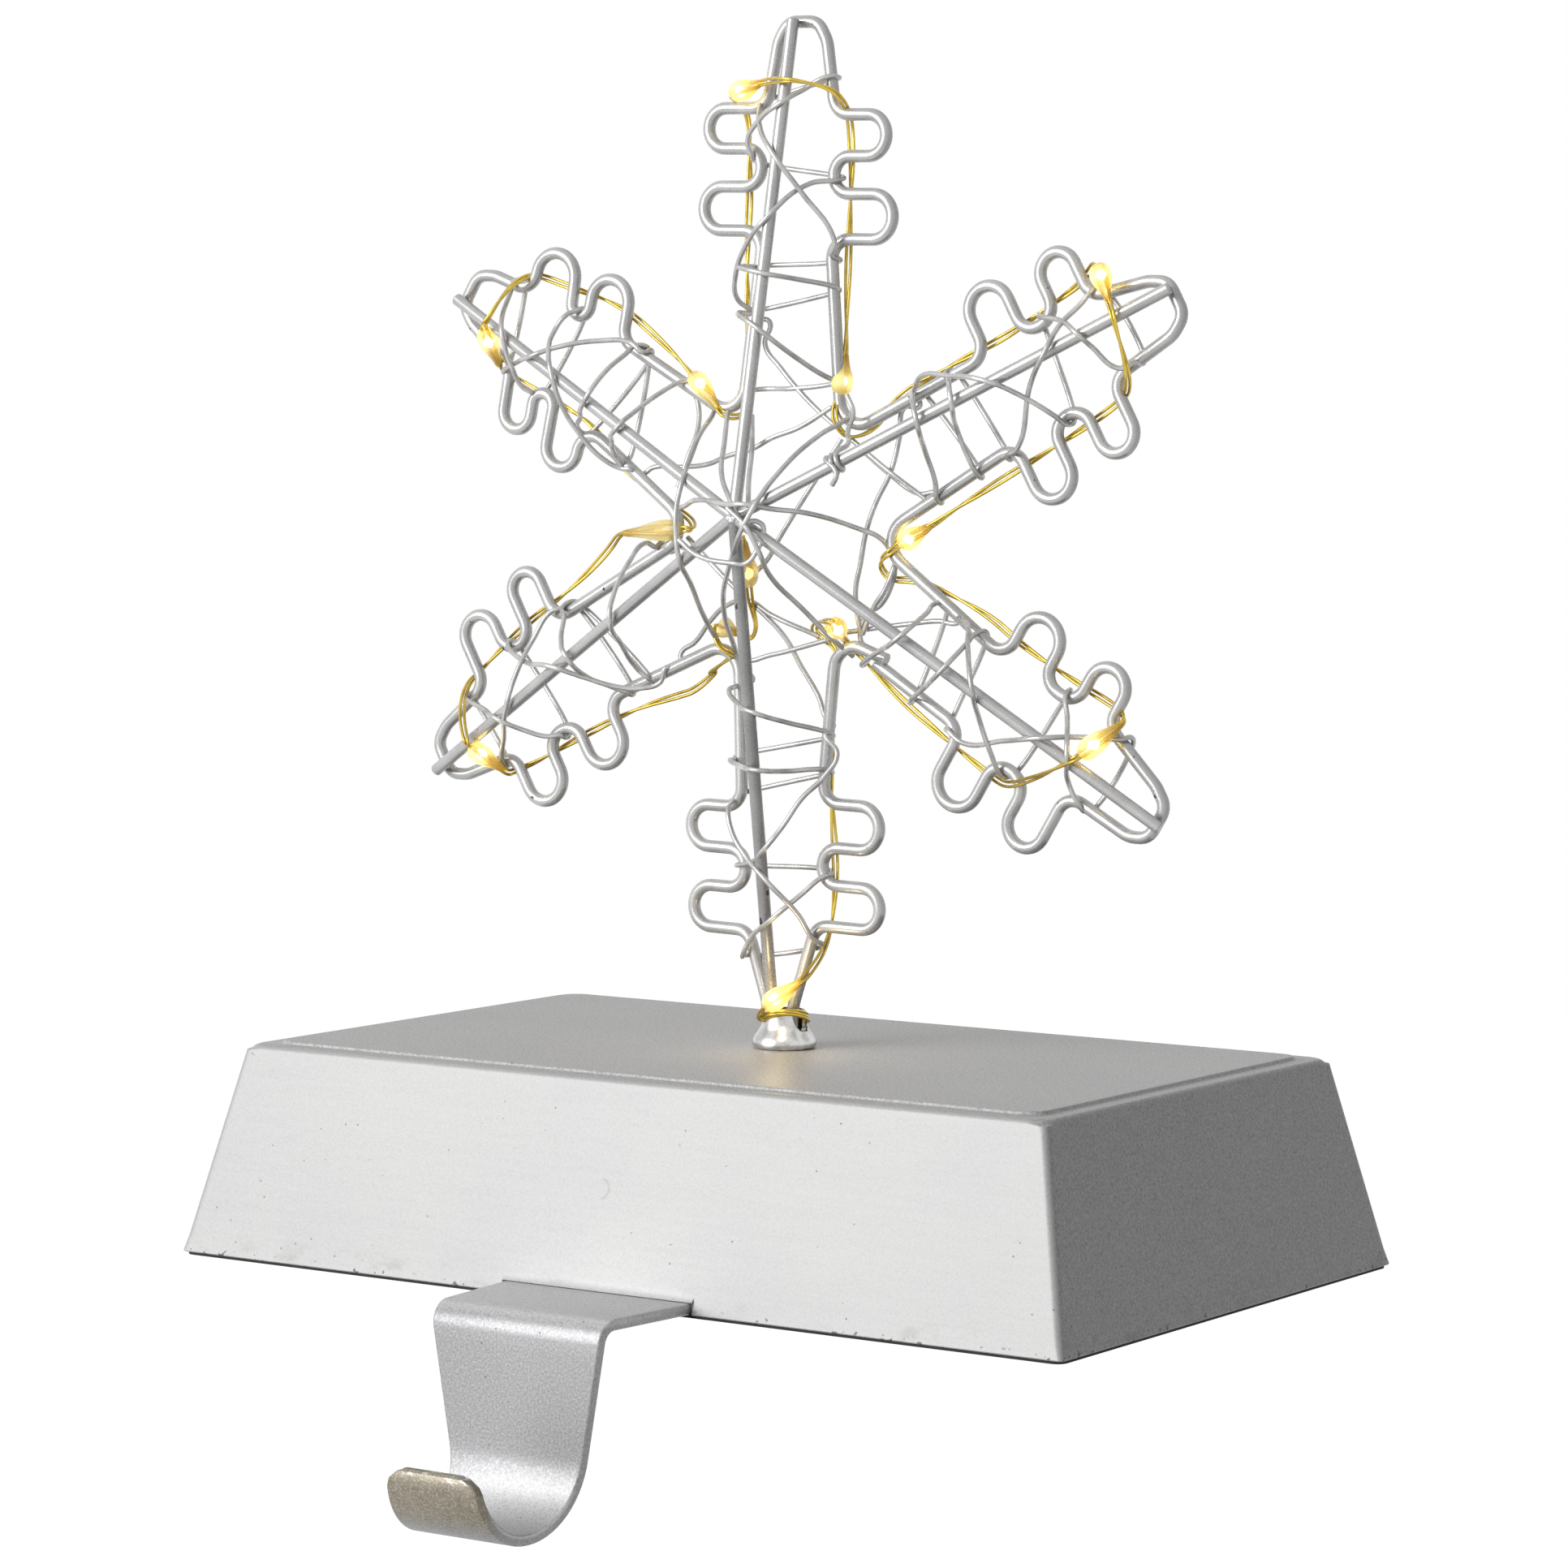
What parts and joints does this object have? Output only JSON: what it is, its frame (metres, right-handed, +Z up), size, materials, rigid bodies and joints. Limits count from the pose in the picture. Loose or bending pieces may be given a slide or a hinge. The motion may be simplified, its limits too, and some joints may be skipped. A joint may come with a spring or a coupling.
{
  "type": "mantel stocking holder",
  "caption": "Weighted box base with a strap hook curling down over a mantel's edge and a lit bent-wire snowflake standing on top.",
  "frame": {"origin": "middle of the base's underside, on the face that rests on the mantel", "axes": "+X along the mantel, -Y towards the room, where the hook hangs, +Z up"},
  "size_m": [0.14, 0.122, 0.1941],
  "materials": {
    "silver_paint": "satin silver paint with a fine metallic speckle",
    "wire_paint": "satin silver paint",
    "hook_paint": "satin silver paint, worn at its edges",
    "binding_wire": "satin silver paint over thin wire",
    "bright_plate": "bright plated",
    "pad_rubber": "matt black",
    "floor_steel": "bare sheet",
    "iron": "rough cast",
    "black_plastic": "moulded, matt",
    "cell_wrap": "plain wrapped cell",
    "contact_steel": "nickel plated",
    "screw_steel": "zinc plated",
    "terminal_brass": "bare",
    "gold_wire": "lacquered copper wire",
    "lamp_drop": "clear resin drop, lit warm white"
  },
  "bodies": {
    "holder": {"ballast_weight": "iron", "base_pad": "pad_rubber", "base_shell": "silver_paint", "battery_case": "black_plastic", "binding_1": "binding_wire", "binding_2": "binding_wire", "binding_3": "binding_wire", "binding_4": "binding_wire", "binding_5": "binding_wire", "binding_6": "binding_wire", "bottom_plate": "floor_steel", "cell_1": "cell_wrap", "cell_2": "cell_wrap", "contact_bridge": "contact_steel", "contact_negative": "contact_steel", "contact_positive": "contact_steel", "ferrule": "bright_plate", "foot_pin": "contact_steel", "hook": "hook_paint", "hook_screws": "screw_steel", "lamp_01": "lamp_drop", "lamp_02": "lamp_drop", "lamp_03": "lamp_drop", "lamp_04": "lamp_drop", "lamp_05": "lamp_drop", "lamp_06": "lamp_drop", "lamp_07": "lamp_drop", "lamp_08": "lamp_drop", "lamp_09": "lamp_drop", "lamp_10": "lamp_drop", "lamp_11": "lamp_drop", "lamp_12": "lamp_drop", "lamp_13": "lamp_drop", "light_wire_a": "gold_wire", "light_wire_b": "gold_wire", "plate_screws": "screw_steel", "snowflake_outline": "wire_paint", "spoke_1": "wire_paint", "spoke_2": "wire_paint", "spoke_3": "wire_paint", "spoke_4": "wire_paint", "spoke_5": "wire_paint", "spoke_6": "wire_paint", "switch_body": "black_plastic", "switch_lead": "gold_wire", "switch_terminals": "terminal_brass"},
    "door": {"battery_door": "black_plastic"},
    "slider": {"switch_slider": "black_plastic", "switch_wiper": "terminal_brass"}
  },
  "joints": [
    {"name": "battery_door_hinge", "type": "hinge", "parent": "holder", "child": "door", "pos_m": [0, 0.0335, 0.0014], "axis": [1, 0, 0], "range_deg": [0, 25]},
    {"name": "switch_slide", "type": "slide", "parent": "holder", "child": "slider", "axis": [1, 0, 0], "range_m": [-0.003, 0]}
  ]
}
